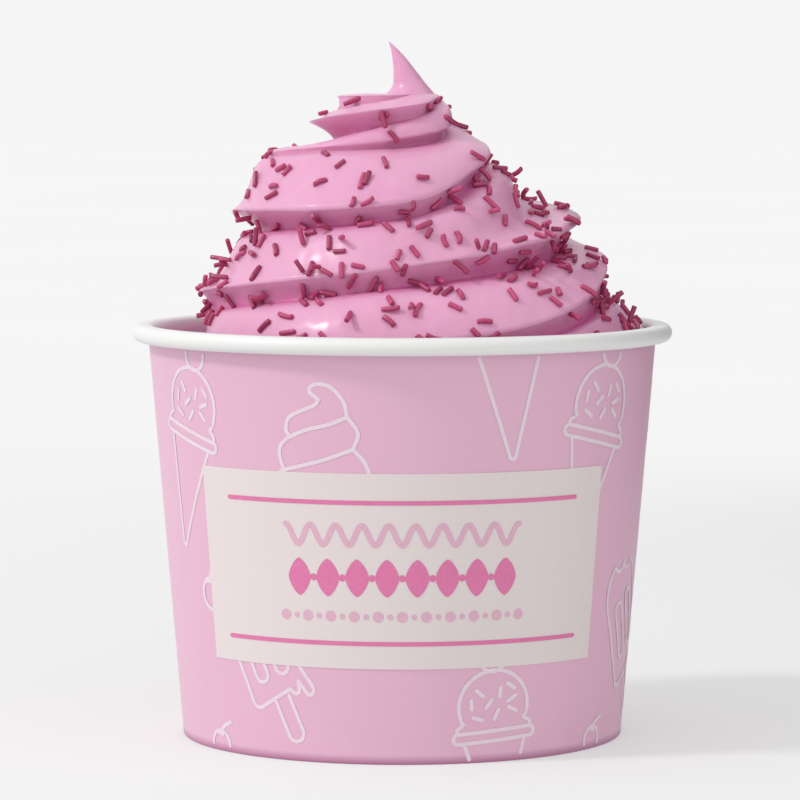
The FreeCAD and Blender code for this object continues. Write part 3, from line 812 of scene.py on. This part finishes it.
def draw_lozenges(ink, half, height):
    """A row of lozenges with dots between them, of the given half length."""
    across, up = LOZENGE_HALF
    turns = [2 * math.pi * k / LOZENGE_STEPS for k in range(LOZENGE_STEPS)]
    edge = [(across * math.cos(t) * abs(math.cos(t)) ** LOZENGE_POINTING,
             up * math.sin(t) * abs(math.sin(t)) ** LOZENGE_POINTING) for t in turns]
    pitch = 2 * half / LOZENGES
    for k in range(LOZENGES):
        middle = -half + pitch * (k + 0.5)
        ink.blot([(middle + x, y) for x, y in edge])
    for k in range(1, LOZENGES):
        ink.disc(Vector((-half + pitch * k, height)), BEAD_RADIUS)


def draw_dots(ink, half, height):
    """A row of large and small dots by turns, of the given half length."""
    for k in range(DOTS):
        ink.disc(Vector((-half + 2 * half * k / (DOTS - 1), height)), DOT_RADII[k % 2])


def make_label_print():
    """The label's two rules and its ornament: a wavy line, a row of lozenges and a row of dots."""
    bold, light = Print(LABEL_STOCK + PRINT_LIFT), Print(LABEL_STOCK + PRINT_LIFT)
    label_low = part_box("front_label")[0].z / MM
    rule_half = math.radians(RULE_HALF_SWEEP) * wall_radius(label_low + SWEEP_HEIGHT)
    half = math.radians(ORNAMENT_HALF_SWEEP) * wall_radius(label_low + SWEEP_HEIGHT)
    for rise in RULE_HEIGHTS:
        bold.set_place(0.0, label_low + rise)
        bold.line([(-rule_half, 0.0), (rule_half, 0.0)], width=RULE_WIDTH)
    light.set_place(0.0, label_low + WAVE_HEIGHT)
    draw_wave(light, half)
    bold.set_place(0.0, label_low + LOZENGE_HEIGHT)
    draw_lozenges(bold, half, label_low + LOZENGE_HEIGHT)
    light.set_place(0.0, label_low + DOT_HEIGHT)
    draw_dots(light, half, label_low + DOT_HEIGHT)
    bold.piece("label_bold_ornament", plain_board_material("pink_ink", "D56C9D", "DA79A6"), "label_paper")
    light.piece("label_light_ornament", plain_board_material("pale_pink_ink", "D6A5BB", "DAADC0"),
                "label_paper")


# ---------------------------------------------------------------- surroundings

FLOOR_REACH = 9.0
FLOOR_SIDES = 64
FLOOR_GLOW = 0.411              # the part of the floor's brightness that is its own
CARD_NEAR, CARD_FAR = (0.34, -0.01), (0.20, 0.46)
CARD_HEIGHT = 0.40
DAYLIGHT = 0.913                # the surroundings' brightness, all round
SUN_STRENGTH = 1.26
SUN_SPREAD = 9                  # degrees across
SUN_FROM = Vector((-0.70, -0.24, 0.68))
SENSOR_WIDTH, LENS = 36.0, 190.2
CAMERA_PLACE = (-0.0004, -0.769, 0.1178)
CAMERA_TARGET = (-0.0004, 0.0, 0.0608)


def stage_plate(name, corners, paint):
    """A flat, dull plate that is part of the stage, not of the object."""
    mesh = bpy.data.meshes.new(name)
    mesh.from_pydata(corners, [], [tuple(range(len(corners)))])
    plate = bpy.data.objects.new(name, mesh)
    bpy.context.scene.collection.objects.link(plate)
    paint.shader.inputs["Specular IOR Level"].default_value = 0.0
    put_material(plate, paint.material)
    return plate


def make_floor():
    """A pale floor with no visible end, as bright under the sun as what lies behind it.

    Part of its brightness is its own, which keeps the shadow as faint as under large studio lamps.
    """
    turns = [2 * math.pi * k / FLOOR_SIDES for k in range(FLOOR_SIDES)]
    rim = [(FLOOR_REACH * math.cos(t), FLOOR_REACH * math.sin(t), 0.0) for t in turns]
    paint = Paint("floor_paper", Roughness=1.0, Emission_Strength=FLOOR_GLOW)
    paint.shader.inputs["Emission Color"].default_value = (1.0, 1.0, 1.0, 1.0)
    paint.color(paint.mix(paint.span(paint.grain(3.0), 0.3, 0.7), tone("AEAEAE"), tone("B0B0B0")))
    stage_plate("floor", rim, paint)


def make_dark_card():
    """A dark card on the right, out of sight, which keeps light off the tub's shaded side."""
    paint = Paint("dark_card", Roughness=1.0)
    paint.color(paint.mix(paint.span(paint.grain(8.0), 0.3, 0.7), tone("2E2428"), tone("362A2E")))
    corners = [(*CARD_NEAR, 0.0), (*CARD_FAR, 0.0), (*CARD_FAR, CARD_HEIGHT), (*CARD_NEAR, CARD_HEIGHT)]
    card = stage_plate("dark_card", corners, paint)
    card.visible_camera = False


def aim(thing, target):
    """Turns a light or camera to look at a place."""
    thing.rotation_euler = (Vector(target) - thing.location).to_track_quat("-Z", "Y").to_euler()


def light_scene():
    """One soft sun from the left, and even light all round."""
    data = bpy.data.lights.new("sun", "SUN")
    data.energy = SUN_STRENGTH
    data.angle = math.radians(SUN_SPREAD)
    sun = bpy.data.objects.new("sun", data)
    bpy.context.scene.collection.objects.link(sun)
    sun.location = SUN_FROM
    aim(sun, (0.0, 0.0, 0.0))
    world = bpy.data.worlds.new("studio")
    world.use_nodes = True
    background = world.node_tree.nodes["Background"]
    background.inputs["Color"].default_value = (1.0, 1.0, 1.0, 1.0)
    background.inputs["Strength"].default_value = DAYLIGHT
    bpy.context.scene.world = world
    bpy.context.scene.view_settings.view_transform = "Standard"


def add_camera():
    """A long lens in front of the tub, above its rim and looking slightly down."""
    data = bpy.data.cameras.new("camera")
    data.sensor_width = SENSOR_WIDTH
    data.lens = LENS
    data.clip_start, data.clip_end = 0.05, 20.0
    camera = bpy.data.objects.new("camera", data)
    bpy.context.scene.collection.objects.link(camera)
    camera.location = CAMERA_PLACE
    aim(camera, CAMERA_TARGET)
    bpy.context.scene.camera = camera


# ---------------------------------------------------------------- build

def main():
    put_material(NODES["cup_sidewall"], printed_board_material())
    put_material(NODES["cup_base"], plain_board_material("base_board", "E2E2E1", "DAD9D7"))
    put_material(NODES["front_label"], plain_board_material("label_stock", "DDD2D1", "DACFCE"))
    put_material(NODES["ice_cream_fill"], cream_material())
    swirl = make_swirl()
    skin = BVHTree.FromObject(swirl, bpy.context.evaluated_depsgraph_get())
    make_sprinkles(skin)
    make_wall_drawings()
    make_label_print()
    make_floor()
    make_dark_card()
    light_scene()
    add_camera()


main()
